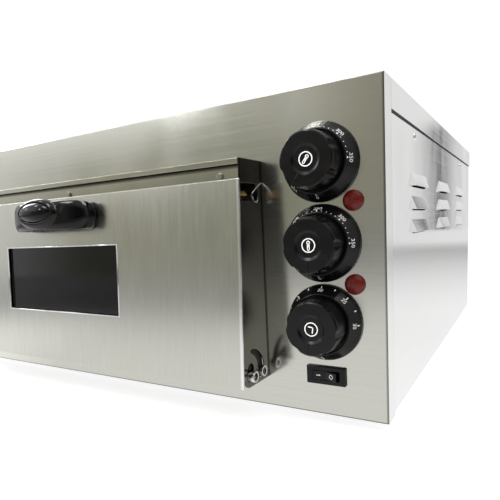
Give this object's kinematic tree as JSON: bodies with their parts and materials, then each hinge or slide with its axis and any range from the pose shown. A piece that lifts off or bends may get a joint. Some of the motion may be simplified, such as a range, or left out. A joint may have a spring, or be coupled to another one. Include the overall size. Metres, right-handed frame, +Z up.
{
  "type": "countertop pizza oven",
  "caption": "Electric countertop pizza oven: steel cabinet, drop-down door with window and bowed handle, heat and timer dials, lamps and rocker switch.",
  "frame": {"origin": "under the middle of the oven's overall box, on the plane that its feet stand on", "axes": "+X to the control side, +Y from the door to the back, +Z up"},
  "size_m": [0.585, 0.6598, 0.28],
  "materials": {
    "satin_steel": "fine horizontal brush lines",
    "bright_steel": "bright rolled sheet, half reflecting",
    "galvanised_steel": "dull zinc-coated sheet",
    "blued_steel": "heat-darkened sheet and rod",
    "chrome": "plated, polished",
    "brass": "turned, satin",
    "black_plastic": "satin black moulding",
    "gloss_black": "polished black moulding",
    "black_rubber": "matt black",
    "ruby_lens": "clear red lens over a dark inside",
    "glass": "dark oven glass",
    "mineral_wool": "loose pale fibre",
    "cordierite": "unglazed baking stone",
    "copper": "drawn capillary",
    "white_ceramic": "glazed ceramic",
    "red_wire": "soft wire covering"
  },
  "bodies": {
    "cabinet": {"front_panel": "satin_steel", "surround_side_left": "satin_steel", "surround_side_right": "satin_steel", "surround_top": "satin_steel", "surround_band": "satin_steel", "top_cover": "bright_steel", "side_panel_left": "bright_steel", "side_panel_right": "bright_steel", "back_panel": "galvanised_steel", "base_pan": "galvanised_steel", "control_partition": "galvanised_steel", "stone_rail_left": "galvanised_steel", "stone_rail_right": "galvanised_steel", "thermostat_upper": "galvanised_steel", "thermostat_lower": "galvanised_steel", "timer_block": "galvanised_steel", "chamber_floor": "blued_steel", "chamber_ceiling": "blued_steel", "chamber_wall_left": "blued_steel", "chamber_wall_right": "blued_steel", "chamber_back": "blued_steel", "upper_heating_rod": "blued_steel", "lower_heating_rod": "blued_steel", "spring_wire_left": "chrome", "spring_wire_right": "chrome", "dial_plate_upper": "black_plastic", "dial_plate_lower": "black_plastic", "dial_plate_timer": "black_plastic", "switch_bezel": "black_plastic", "cable_gland": "black_plastic", "foot_front_left": "black_rubber", "foot_front_right": "black_rubber", "foot_rear_left": "black_rubber", "foot_rear_right": "black_rubber", "indicator_lamp_upper": "ruby_lens", "indicator_lamp_lower": "ruby_lens", "insulation_wrap": "mineral_wool", "insulation_floor": "mineral_wool", "insulation_back": "mineral_wool", "pizza_stone": "cordierite", "upper_sensor": "copper", "lower_sensor": "copper", "terminal_block": "white_ceramic", "mains_loom": "red_wire"},
    "door": {"door_skin": "satin_steel", "door_pan": "satin_steel", "door_insulation": "mineral_wool", "window_outer_pane": "glass", "window_inner_pane": "glass", "handle": "gloss_black", "handle_button": "gloss_black", "hinge_bracket_left": "chrome", "hinge_bracket_right": "chrome", "latch_stud_left": "brass", "latch_stud_right": "brass"},
    "upper_knob": {"knob_upper": "black_plastic"},
    "lower_knob": {"knob_lower": "black_plastic"},
    "timer_knob": {"knob_timer": "black_plastic"},
    "rocker": {"power_rocker": "black_plastic"}
  },
  "joints": [
    {"name": "door_hinge", "type": "hinge", "parent": "cabinet", "child": "door", "pos_m": [-0.037, -0.28977, 0.0485], "axis": [1, 0, 0], "range_deg": [0, 80]},
    {"name": "upper_knob_turn", "type": "hinge", "parent": "cabinet", "child": "upper_knob", "pos_m": [0.239, -0.26607, 0.2204], "axis": [0, 1, 0], "range_deg": [-35, 235]},
    {"name": "lower_knob_turn", "type": "hinge", "parent": "cabinet", "child": "lower_knob", "pos_m": [0.239, -0.26607, 0.1561], "axis": [0, 1, 0], "range_deg": [0, 270]},
    {"name": "timer_knob_turn", "type": "hinge", "parent": "cabinet", "child": "timer_knob", "pos_m": [0.239, -0.26607, 0.0912], "axis": [0, 1, 0], "range_deg": [-8, 262]},
    {"name": "rocker_tip", "type": "hinge", "parent": "cabinet", "child": "rocker", "pos_m": [0.239, -0.25507, 0.046], "axis": [0, 0, 1], "range_deg": [0, 14]}
  ]
}
